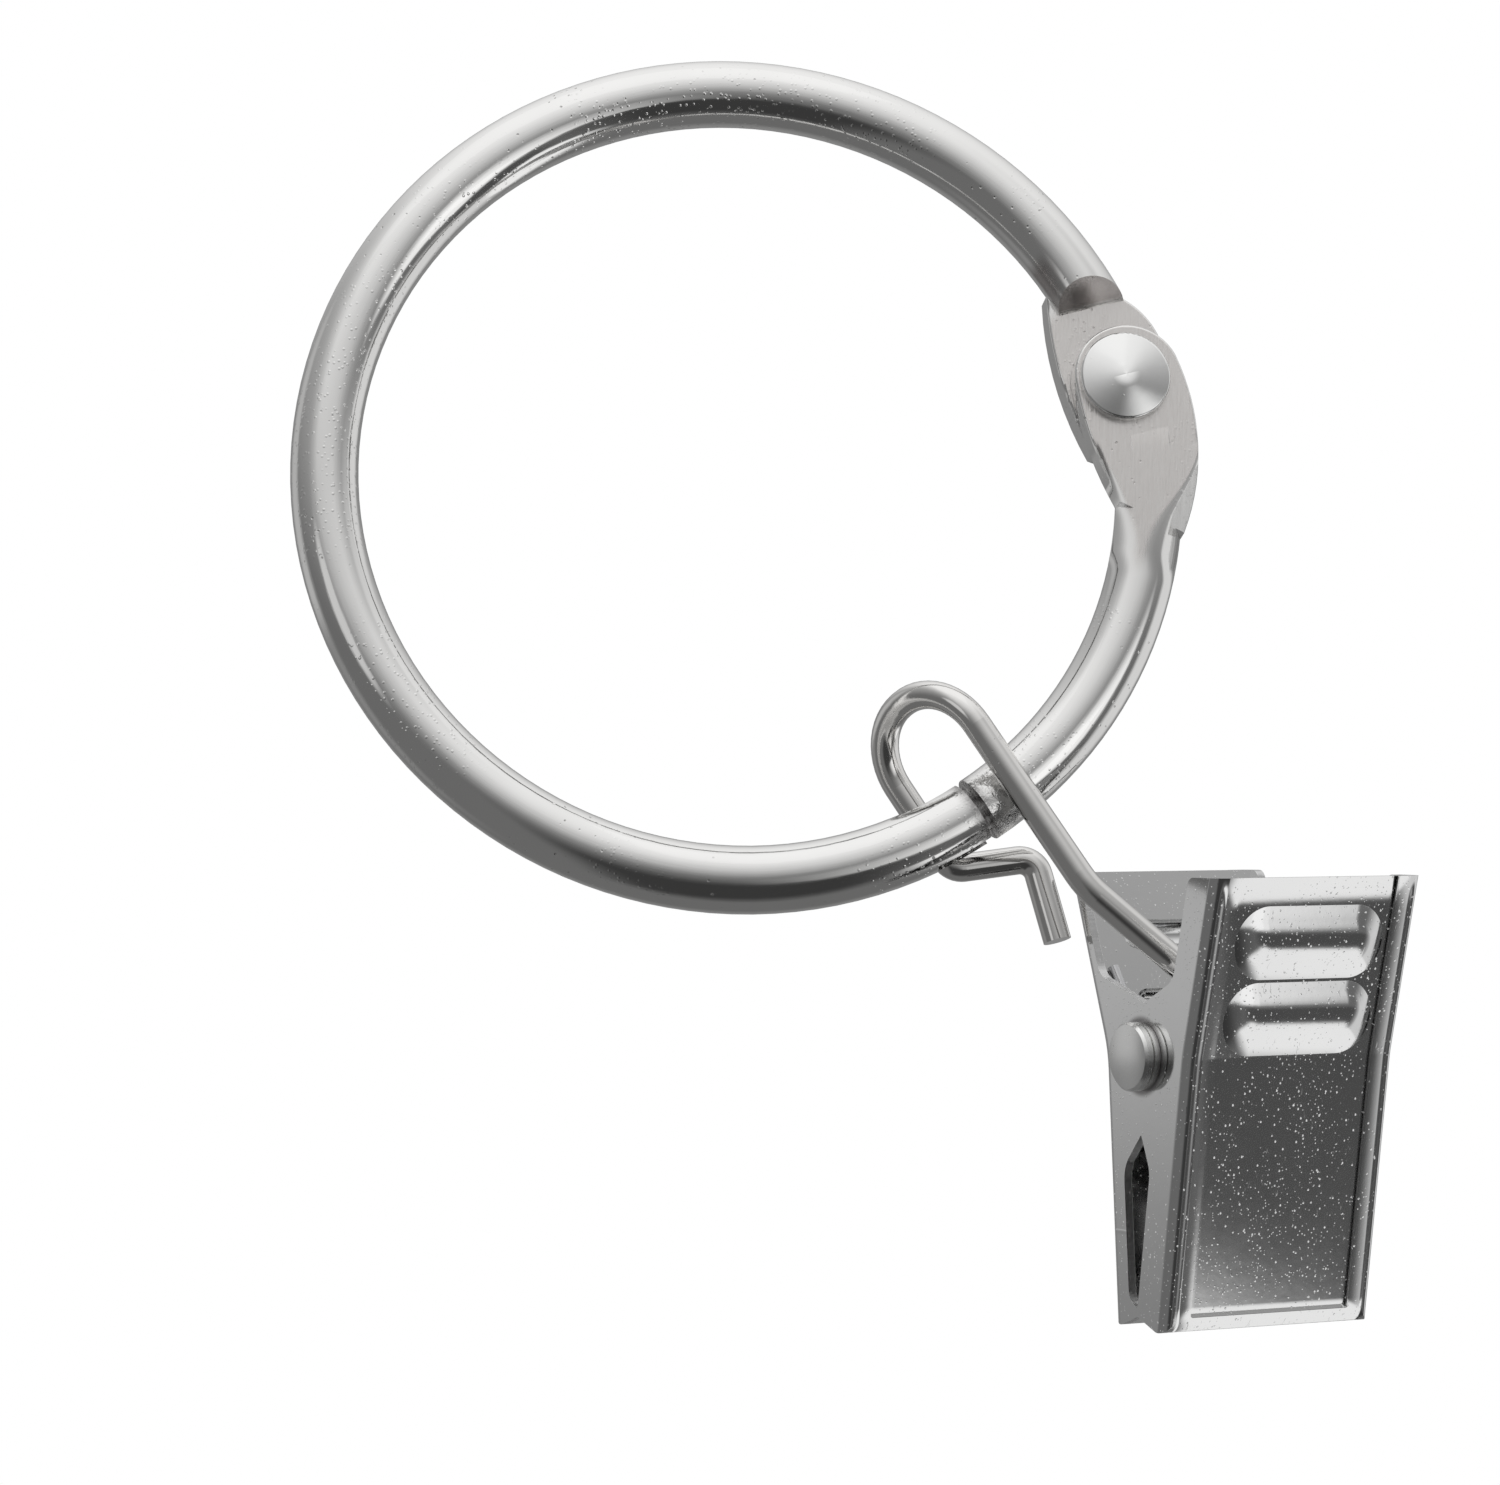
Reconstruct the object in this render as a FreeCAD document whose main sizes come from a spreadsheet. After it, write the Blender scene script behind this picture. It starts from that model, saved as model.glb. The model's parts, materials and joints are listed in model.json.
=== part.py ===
"""Openable curtain ring with a sprung clip: hinged bar ring, wire link and two stamped jaws.

Frame: the ring lies in the XZ plane about the origin, +Y is the rod's axis and +Z is up. Millimetres.
"""
import FreeCAD, Part
import math
import os

import Sketcher
from FreeCAD import Placement, Rotation, Vector

SIZES = {
    # ring
    "ring_bore": 38.0,
    "bar_diameter": 3.4,
    "latch_angle": -55.2,
    "gate_offset": 0.35,
    # hinge: its rivet stands on the ring at this angle and radius
    "hinge_angle": 16.0,
    "hinge_radius": 20.4,
    "step_distance": 4.4,
    "step_slope": 1.2,
    "paddle_gap": 0.06,
    "arc_paddle_thickness": 1.55,
    "arc_paddle_end": 2.4,
    "arc_paddle_outer": 2.75,
    "arc_paddle_side": 0.6,
    "arc_paddle_join": 4.6,
    "arc_paddle_reach": 3.85,
    "arc_inner_sag": 0.5,
    "arc_outer_sag": 0.55,
    "gate_paddle_thickness": 1.35,
    "gate_paddle_inner": 2.45,
    "gate_paddle_outer": 2.95,
    "gate_paddle_side": 0.6,
    "gate_paddle_top": 2.8,
    "gate_neck_inner": 6.2,
    "gate_neck_outer": 8.6,
    "gate_inner_sag": 0.3,
    "gate_outer_sag": 0.95,
    "gate_bar_start": 0.72,
    "gate_flat_start": 3.0,
    "gate_flat_length": 8.6,
    "relief_clearance": 0.25,
    "paddle_edge": 0.15,
    "rivet_shank_diameter": 2.0,
    "rivet_head_diameter": 4.6,
    "rivet_head_height": 0.65,
    "rivet_crown": 0.17,
    "rivet_edge": 0.14,
    "rivet_tail_diameter": 3.6,
    "rivet_tail_height": 0.5,
    "rivet_tail_edge": 0.3,
    "seat_clearance": 0.02,
    "running_clearance": 0.05,
    # latch
    "slot_width": 1.3,
    "slot_depth": 3.2,
    "tongue_thickness": 1.0,
    "tongue_length": 2.4,
    "tongue_root": 1.45,
    "tongue_inset": 0.55,
    "latch_gap": 0.12,
    # wire link
    "wire_diameter": 1.42,
    "wire_bar_clearance": 0.15,
    "eye_radius": 2.25,
    "eye_across": -0.6,
    "eye_sweep": 286.0,
    "front_crossing_angle": -49.8,
    "front_crossing_rise": 0.7,
    "back_crossing_angle": -60.2,
    "back_crossing_drop": 0.4,
    "link_angle": 123.6,
    "loop_height": 7.1,
    "front_leg_length": 5.8,
    "back_leg_length": 1.9,
    "back_leg_lean": 0.3,
    "knee_across": 4.17,
    "knee_rise": 0.7,
    "free_end_across": 1.15,
    "free_end_drop": 4.2,
    "free_end_lean": 0.1,
    "link_bend": 4.5,
    "kink_bend": 0.95,
    "turn_slack": 0.01,
    # clip: its pin's middle in the ring's frame, and how it hangs there
    "pivot_across": 25.44,
    "pivot_back": 1.0,
    "pivot_down": 28.62,
    "clip_turn": 30.0,
    "hang_turn": 6.0,
    "hang_lean": 14.8,
    "sheet": 0.45,
    "handle_length": 8.85,
    "jaw_length": 13.7,
    "front_width": 12.4,
    "nest_clearance": 0.08,
    "web_edge": 0.7,
    "pan_depth": 0.22,
    "ridge_width": 1.5,
    "pan_end": 1.0,
    "pan_edge": 0.1,
    "front_web_offset": 4.1,
    "front_handle_angle": 14.6,
    "front_jaw_angle": 8.9,
    "back_web_offset": 4.2,
    "back_handle_angle": 20.0,
    "back_jaw_angle": 4.0,
    "ear_radius": 2.3,
    "ear_side": 0.75,
    "front_handle_flange": 2.4,
    "back_handle_flange": 1.1,
    "handle_flange_end": 3.8,
    "front_jaw_flange": 2.5,
    "back_jaw_flange": 1.5,
    "throat_height": 5.6,
    "tip_flange_end": 1.6,
    "flange_corner": 0.5,
    "flange_fillet": 1.2,
    "throat_fillet": 1.6,
    "tip_fillet": 0.8,
    "web_bend": 6.0,
    "lip_meeting": 0.6,
    "lip_rise": 1.0,
    "lip_gap": 0.06,
    "rib_side_margin": 0.17,
    "rib_radius": 1.3,
    "rib_height": 0.5,
    "rib_blend": 0.35,
    "rib_spacing": 3.4,
    "rib_top_margin": 3.0,
    # pin, washer and spring
    "pin_diameter": 1.8,
    "pin_head_diameter": 3.4,
    "pin_head_height": 0.42,
    "pin_head_edge": 0.13,
    "pin_neck_diameter": 2.6,
    "pin_neck_height": 0.1,
    "pin_tail_diameter": 3.0,
    "pin_tail_height": 0.6,
    "pin_tail_edge": 0.36,
    "washer_thickness": 0.32,
    "spring_wire": 0.6,
    "coil_radius": 1.9,
    "coil_turns": 2.0,
    "coil_pieces": 4.0,
    "coil_pitch": 0.63,
    "coil_side_gap": 0.2,
    "spring_bend": 0.9,
    "spring_leg_height": 4.15,
}

doc = FreeCAD.newDocument("curtain_ring")
sheet = doc.addObject("Spreadsheet::Sheet", "sizes")
for row, (alias, value) in enumerate(SIZES.items(), start=1):
    sheet.set("A%d" % row, alias)
    sheet.set("B%d" % row, str(value))
    sheet.setAlias("B%d" % row, alias)
doc.recompute()


def size(alias):
    """A driving dimension, read from the sheet."""
    return float(sheet.get(alias))


def bind(obj, **expressions):
    """Tie properties of an object to cells of the sheet."""
    for prop, expression in expressions.items():
        obj.setExpression(prop, expression)


def cell(alias):
    """The expression that names one cell."""
    return "<<sizes>>." + alias


# Frames

BAR_RADIUS = size("bar_diameter") / 2
RING_RADIUS = size("ring_bore") / 2 + BAR_RADIUS
HALF_GAP = size("paddle_gap") / 2
NEAR = 0.01

# ring frame: local x is +X, local y is +Z and local z comes towards the viewer
RING_FRAME = Placement(Vector(0, 0, 0), Rotation(Vector(1, 0, 0), 90))
SIDE_VIEW = Rotation(Vector(1, 1, 1), 120)


def polar(radius, angle, height=0.0):
    """A point of the ring frame at a radius and an angle in degrees."""
    turn = math.radians(angle)
    return Vector(radius * math.cos(turn), radius * math.sin(turn), height)


HINGE = polar(size("hinge_radius"), size("hinge_angle"))
LATCH = polar(RING_RADIUS, size("latch_angle"))


def clip_rotation():
    """Local x along the pin, local y to the back of the clip, local z to its handles."""
    lean = Rotation(Vector(1, 0, 0), size("hang_lean"))
    turn = Rotation(Vector(0, 0, 1), -size("hang_turn"))
    about_own_axis = Rotation(Vector(0, 0, 1), size("clip_turn"))
    return turn * lean * about_own_axis


CLIP_FRAME = Placement(Vector(size("pivot_across"), size("pivot_back"), -size("pivot_down")), clip_rotation())


# Sketch and body helpers

def corner_arc(before, corner, after, radius):
    """Start, middle and end of the arc of a radius that rounds a corner of a path."""
    to_before = (before - corner).normalize()
    to_after = (after - corner).normalize()
    half_angle = to_before.getAngle(to_after) / 2
    tangent = radius / math.tan(half_angle)
    start = corner + to_before * tangent
    end = corner + to_after * tangent
    bisector = (to_before + to_after).normalize()
    middle = corner + bisector * (radius / math.sin(half_angle) - radius)
    return start, middle, end


def new_body(label, placement):
    body = doc.addObject("PartDesign::Body", label)
    body.Label = label
    body.Placement = placement
    return body


def new_sketch(body, name, placement=Placement()):
    """A sketch on the body's own XY plane, moved by a placement."""
    sketch = body.newObject("Sketcher::SketchObject", name)
    plane = next(item for item in body.Origin.OriginFeatures if item.Role == "XY_Plane")
    sketch.AttachmentSupport = [(plane, "")]
    sketch.MapMode = "FlatFace"
    sketch.AttachmentOffset = placement
    return sketch


def draw(sketch, corners):
    """Closed outline through 2-D corners; a triple (x, y, bulge point) makes the edge to it an arc."""
    count = len(corners)
    for index in range(count):
        start = corners[index]
        end = corners[(index + 1) % count]
        first = Vector(start[0], start[1], 0)
        last = Vector(end[0], end[1], 0)
        if len(end) == 3:
            middle = Vector(end[2][0], end[2][1], 0)
            sketch.addGeometry(Part.Arc(first, middle, last), False)
        else:
            sketch.addGeometry(Part.LineSegment(first, last), False)


def sagged(start, end, sag):
    """Outline corner reached by an arc: the chord's middle is moved to its left by a sag."""
    run = end[0] - start[0]
    rise = end[1] - start[1]
    length = math.hypot(run, rise)
    across = (start[0] + end[0]) / 2 - sag * rise / length
    along = (start[1] + end[1]) / 2 + sag * run / length
    return (end[0], end[1], (across, along))


def rounded(before, corner, after, radius):
    """Two outline corners that round one: the arc's start, and its end with a point on the arc."""
    flat = [Vector(point[0], point[1], 0) for point in (before, corner, after)]
    start, middle, end = corner_arc(*flat, radius)
    return [(start.x, start.y), (end.x, end.y, (middle.x, middle.y))]


def draw_circle(sketch, centre, radius, expression):
    """A circle whose radius is bound to the sheet."""
    index = sketch.addGeometry(Part.Circle(Vector(centre.x, centre.y, 0), Vector(0, 0, 1), radius), False)
    number = sketch.addConstraint(Sketcher.Constraint("Radius", index, radius))
    sketch.setExpression("Constraints[%d]" % number, expression)


def pad(body, name, sketch, expression, both_ways=False):
    feature = body.newObject("PartDesign::Pad", name)
    feature.Profile = sketch
    feature.Midplane = both_ways
    bind(feature, Length=expression)
    doc.recompute()
    return feature


def pocket(body, name, sketch, expression, both_ways=False):
    """Cut a sketch along its own normal, or to both sides, and check that it removed something."""
    before = body.Shape.Volume
    feature = body.newObject("PartDesign::Pocket", name)
    feature.Profile = sketch
    feature.Midplane = both_ways
    feature.Reversed = not both_ways
    bind(feature, Length=expression)
    doc.recompute()
    if body.Shape.Volume > before - 1e-6:
        raise RuntimeError("%s cut nothing" % name)
    return feature


def revolve(body, name, sketch, axis, kind="PartDesign::Revolution", angle="360"):
    feature = body.newObject(kind, name)
    feature.Profile = sketch
    feature.ReferenceAxis = (sketch, [axis])
    bind(feature, Angle=angle)
    doc.recompute()
    return feature


def fillet(body, name, edges, expression):
    """Round the edges of the body's last feature that a test picks."""
    base = body.Tip
    picked = [
        "Edge%d" % number
        for number, edge in enumerate(base.Shape.Edges, start=1)
        if edges(edge)
    ]
    if not picked:
        raise RuntimeError("%s found no edge" % name)
    feature = body.newObject("PartDesign::Fillet", name)
    feature.Base = (base, picked)
    bind(feature, Radius=expression)
    doc.recompute()
    return feature


def edge_middle(edge):
    return edge.valueAt((edge.FirstParameter + edge.LastParameter) / 2)


def bar_sector(body, name, start, sweep, centre=Vector(0, 0, 0)):
    """A length of round bar bent to the ring's radius, from one angle on by a sweep in degrees."""
    upright = Rotation(Vector(0, 0, 1), start) * Rotation(Vector(1, 0, 0), 90)
    sketch = new_sketch(body, name + "_section", Placement(centre, upright))
    draw_circle(sketch, Vector(RING_RADIUS, 0, 0), BAR_RADIUS, cell("bar_diameter") + " / 2")
    return revolve(body, name, sketch, "V_Axis", angle="%.6f" % sweep)


# Hinge geometry, in a frame at the rivet: x is radially outward, y runs up the ring

HINGE_FRAME = Placement(HINGE, Rotation(Vector(0, 0, 1), size("hinge_angle")))
HINGE_SIDE = HINGE_FRAME.multiply(Placement(Vector(0, 0, 0), SIDE_VIEW))
BEYOND = 3 * size("bar_diameter")
THROUGH = cell("bar_diameter") + " * 6"


def hinge_plane(height):
    """The hinge frame lifted towards the viewer."""
    return HINGE_FRAME.multiply(Placement(Vector(0, 0, height), Rotation()))


def bar_edge(side, height, centre=Vector(0, 0, 0)):
    """Point on a bar's outer (side 1) or inner (side -1) edge at a height in the hinge frame."""
    radius = RING_RADIUS + side * BAR_RADIUS
    middle = HINGE_FRAME.inverse().multVec(centre)
    return (middle.x + math.sqrt(radius ** 2 - (height - middle.y) ** 2), height)


def rivet_hole(body, name):
    """Running bore for the rivet's shank."""
    sketch = new_sketch(body, name + "_outline", hinge_plane(-BEYOND))
    draw_circle(sketch, Vector(0, 0, 0), size("rivet_shank_diameter") / 2 + size("running_clearance"),
                cell("rivet_shank_diameter") + " / 2 + " + cell("running_clearance"))
    pocket(body, name, sketch, THROUGH)


def make_ring_arc():
    """Long arc: bar, stepped hinge paddle at the back half, forked latch end."""
    body = new_body("ring_arc", RING_FRAME)
    tail_room = size("rivet_tail_diameter") / 2 + size("relief_clearance")
    start = size("hinge_angle") + math.degrees(tail_room / RING_RADIUS)
    sweep = 360.0 + size("latch_angle") - math.degrees(size("latch_gap") / RING_RADIUS) - start
    bar_sector(body, "arc_bar", start, sweep)

    # step: the front half goes, with a sloped shoulder
    sketch = new_sketch(body, "step_profile", HINGE_SIDE)
    low = -HALF_GAP
    high = size("bar_diameter")
    slope = size("step_slope") / (BAR_RADIUS + HALF_GAP)
    shoulder = size("step_distance")
    draw(sketch, [
        (-BEYOND, low), (shoulder, low), (shoulder + slope * (high - low), high), (-BEYOND, high),
    ])
    pocket(body, "step", sketch, THROUGH, both_ways=True)

    # paddle: a flat tongue that ends in an arc about the rivet
    reach = size("arc_paddle_reach")
    inner = -size("arc_paddle_end")
    outer = size("arc_paddle_outer")
    root = shoulder + size("step_slope")
    end_inner = (inner, -math.sqrt(reach ** 2 - inner ** 2))
    end_outer = (outer, -math.sqrt(reach ** 2 - outer ** 2), (0, -reach))
    side = (outer, size("arc_paddle_side"))
    join = bar_edge(1, size("arc_paddle_join"))
    root_inner = bar_edge(-1, root)
    sketch = new_sketch(body, "arc_paddle_outline", hinge_plane(-HALF_GAP - size("arc_paddle_thickness")))
    draw(sketch, [
        sagged(root_inner, end_inner, -size("arc_inner_sag")),
        end_outer,
        side,
        sagged(side, join, -size("arc_outer_sag")),
        bar_edge(1, root),
        root_inner,
    ])
    pad(body, "arc_paddle", sketch, cell("arc_paddle_thickness"))

    def paddle_rim(edge):
        middle = HINGE_FRAME.inverse().multVec(edge_middle(edge))
        return abs(middle.z + HALF_GAP) < NEAR and middle.y < shoulder - NEAR

    fillet(body, "arc_paddle_rim", paddle_rim, cell("paddle_edge"))
    rivet_hole(body, "arc_rivet_bore")

    # fork: a saw cut in the ring's plane
    latch = Placement(LATCH, Rotation(Vector(0, 0, 1), size("latch_angle")))
    sketch = new_sketch(body, "fork_outline", latch)
    depth = size("slot_depth")
    wide = size("bar_diameter")
    draw(sketch, [(-wide, -depth), (wide, -depth), (wide, depth), (-wide, depth)])
    pocket(body, "fork", sketch, cell("slot_width"), both_ways=True)
    return body


def make_ring_gate():
    """Short arc: bar, front-half hinge paddle and a flat latch tongue."""
    body = new_body("ring_gate", RING_FRAME)
    end = size("hinge_angle") - math.degrees(size("gate_bar_start") / RING_RADIUS)
    centre = polar(size("gate_offset"), size("latch_angle") + 90)
    bar_sector(body, "gate_bar", size("latch_angle"), end - size("latch_angle"), centre)

    # paddle with a rounded end about the rivet, and sides that swing into the bar
    side = size("gate_paddle_side")
    top_inner = (-size("gate_paddle_inner"), side)
    top_outer = (size("gate_paddle_outer"), side)
    top = ((top_inner[0] + top_outer[0]) / 2, size("gate_paddle_top"))
    low_inner = bar_edge(-1, -size("gate_neck_inner"), centre)
    low_outer = bar_edge(1, -size("gate_neck_outer"), centre)
    sketch = new_sketch(body, "gate_paddle_outline", hinge_plane(HALF_GAP))
    draw(sketch, [
        sagged(low_inner, top_inner, size("gate_inner_sag")),
        top_outer + (top,),
        sagged(top_outer, low_outer, size("gate_outer_sag")),
        low_inner,
    ])
    pad(body, "gate_paddle", sketch, cell("gate_paddle_thickness"))

    # front flat: a sloping plane that runs out along the bar
    sketch = new_sketch(body, "gate_flat_profile", HINGE_SIDE)
    face = HALF_GAP + size("gate_paddle_thickness")
    length = size("gate_flat_length")
    draw(sketch, [
        (-length, BAR_RADIUS), (-size("gate_flat_start"), face), (BEYOND, face),
        (BEYOND, BEYOND), (-length, BEYOND),
    ])
    pocket(body, "gate_flat", sketch, THROUGH, both_ways=True)

    def paddle_rim(edge):
        middle = HINGE_FRAME.inverse().multVec(edge_middle(edge))
        return abs(middle.z - face) < NEAR and middle.y > -size("gate_flat_start")

    fillet(body, "gate_paddle_rim", paddle_rim, cell("paddle_edge"))

    # back relief: clears the other paddle's round end
    relief = size("arc_paddle_reach") + size("relief_clearance")
    sketch = new_sketch(body, "gate_relief_outline", hinge_plane(-BEYOND + HALF_GAP))
    draw_circle(sketch, Vector(0, 0, 0), relief,
                cell("arc_paddle_reach") + " + " + cell("relief_clearance"))
    pocket(body, "gate_relief", sketch, cell("bar_diameter") + " * 3")
    rivet_hole(body, "gate_rivet_bore")

    # tongue: enters the fork
    far = size("latch_angle") - math.degrees(size("tongue_length") / RING_RADIUS)
    near = size("latch_angle") + math.degrees(size("tongue_root") / RING_RADIUS)
    big = RING_RADIUS + BAR_RADIUS - size("tongue_inset")
    small = RING_RADIUS - BAR_RADIUS + size("tongue_inset")
    corner = [polar(big, far), polar(big, near), polar(small, near), polar(small, far)]
    outside = polar(big, (far + near) / 2)
    inside = polar(small, (far + near) / 2)
    sketch = new_sketch(body, "tongue_outline")
    draw(sketch, [
        (corner[0].x, corner[0].y), (corner[1].x, corner[1].y, (outside.x, outside.y)),
        (corner[2].x, corner[2].y), (corner[3].x, corner[3].y, (inside.x, inside.y)),
    ])
    pad(body, "tongue", sketch, cell("tongue_thickness"), both_ways=True)
    return body


def make_hinge_rivet():
    """Rivet: low domed head on the gate's paddle, set tail behind the arc's paddle."""
    body = new_body("hinge_rivet", RING_FRAME)
    upright = Placement(Vector(0, 0, 0), Rotation(Vector(1, 0, 0), 90))
    sketch = new_sketch(body, "rivet_profile", HINGE_FRAME.multiply(upright))
    shank = size("rivet_shank_diameter") / 2
    head = size("rivet_head_diameter") / 2
    tail = size("rivet_tail_diameter") / 2
    edge = size("rivet_edge")
    tail_edge = size("rivet_tail_edge")
    seat = HALF_GAP + size("gate_paddle_thickness") + size("seat_clearance")
    crown = seat + size("rivet_head_height")
    rise = size("rivet_crown")
    rim = crown - rise
    back_seat = -HALF_GAP - size("arc_paddle_thickness") - size("seat_clearance")
    back_end = back_seat - size("rivet_tail_height")
    face = head - edge
    dome = (rise ** 2 + face ** 2) / (2 * rise)
    dome_middle = crown - dome + math.sqrt(dome ** 2 - (face / 2) ** 2)
    diagonal = edge * math.sqrt(0.5)
    draw(sketch, [
        (0, back_end), (tail - tail_edge, back_end), (tail, back_end + tail_edge),
        (tail, back_seat), (shank, back_seat), (shank, seat), (head, seat), (head, rim - edge),
        (face, rim, (face + diagonal, rim - edge + diagonal)),
        (0, crown, (face / 2, dome_middle)),
    ])
    revolve(body, "rivet", sketch, "V_Axis")
    return body


# Wire link

def rounded_path(points, radii):
    """Straight runs through 3-D points, each inner corner rounded by its own radius."""
    edges = []
    here = points[0]
    for index, radius in enumerate(radii, start=1):
        start, middle, end = corner_arc(points[index - 1], points[index], points[index + 1], radius)
        edges.append(Part.LineSegment(here, start).toShape())
        edges.append(Part.Arc(start, middle, end).toShape())
        here = end
    edges.append(Part.LineSegment(here, points[-1]).toShape())
    return edges


def row_point(radius, angle, back):
    """A point of the whole part's frame: ring polar coordinates and a depth along +Y."""
    flat = polar(radius, angle)
    return Vector(flat.x, back, flat.y)


def tangent_angle(point, radius, side):
    """Angle on a circle about the origin where a line from an outer 2-D point touches it."""
    distance = math.hypot(point[0], point[1])
    return math.atan2(point[1], point[0]) + side * math.acos(radius / distance)


def sweep(label, path_edges, diameter_cell):
    """Round wire along a path, with its section bound to the sheet."""
    path = doc.addObject("Part::Feature", label + "_path")
    path.Shape = Part.Wire(path_edges)
    first = path_edges[0]
    start = first.valueAt(first.FirstParameter)
    direction = first.tangentAt(first.FirstParameter)
    section = doc.addObject("Part::Circle", label + "_section")
    bind(section, Radius=cell(diameter_cell) + " / 2")
    section.Placement = Placement(start, Rotation(Vector(0, 0, 1), direction))
    wire = doc.addObject("Part::Sweep", label)
    wire.Label = label
    wire.Sections = [section]
    wire.Spine = (path, ["Edge%d" % (number + 1) for number in range(len(path_edges))])
    wire.Solid = True
    wire.Frenet = False
    doc.recompute()
    return wire


def make_wire_loop():
    """Bent wire: free kinked end, open loop round the bar, long leg and an eye on the pin."""
    stand_off = BAR_RADIUS + size("wire_diameter") / 2 + size("wire_bar_clearance")
    along = row_point(1, size("link_angle"), 0)
    front = row_point(RING_RADIUS + size("front_crossing_rise"), size("front_crossing_angle"), -stand_off)
    back = row_point(RING_RADIUS - size("back_crossing_drop"), size("back_crossing_angle"), stand_off)
    front_top = front + along * size("loop_height")
    back_top = back + along * (front_top - back).dot(along)
    turn = (back_top - front_top).Length / 2 - size("turn_slack")
    bend = front - along * size("front_leg_length")
    low = back - along * size("back_leg_length") + Vector(0, size("back_leg_lean"), 0)
    knee = low + Vector(size("knee_across"), size("free_end_lean"), size("knee_rise"))
    free_end = knee + Vector(size("free_end_across"), size("free_end_lean"), -size("free_end_drop"))

    # eye: a hook about the pin that the leg runs into as a tangent
    radius = size("eye_radius")
    local = CLIP_FRAME.inverse().multVec(bend)
    touch_angle = tangent_angle((local.y, local.z), radius, 1)
    outward = Vector(0, math.cos(touch_angle), math.sin(touch_angle))
    centre = Vector(size("eye_across"), 0, 0)
    touch = centre + outward * radius
    onward = (touch - local).normalize()

    def eye_point(degrees):
        turned = math.radians(degrees)
        flat = outward * math.cos(turned) + onward * math.sin(turned)
        return CLIP_FRAME.multVec(centre + flat * radius)

    points = [free_end, knee, low, back_top, front_top, bend, CLIP_FRAME.multVec(touch)]
    radii = [size("kink_bend"), size("kink_bend"), turn, turn, size("link_bend")]
    edges = rounded_path(points, radii)
    turned = size("eye_sweep")
    edges.append(Part.Arc(eye_point(0), eye_point(turned / 2), eye_point(turned)).toShape())
    return sweep("wire_loop", edges, "wire_diameter")


# Clip

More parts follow.
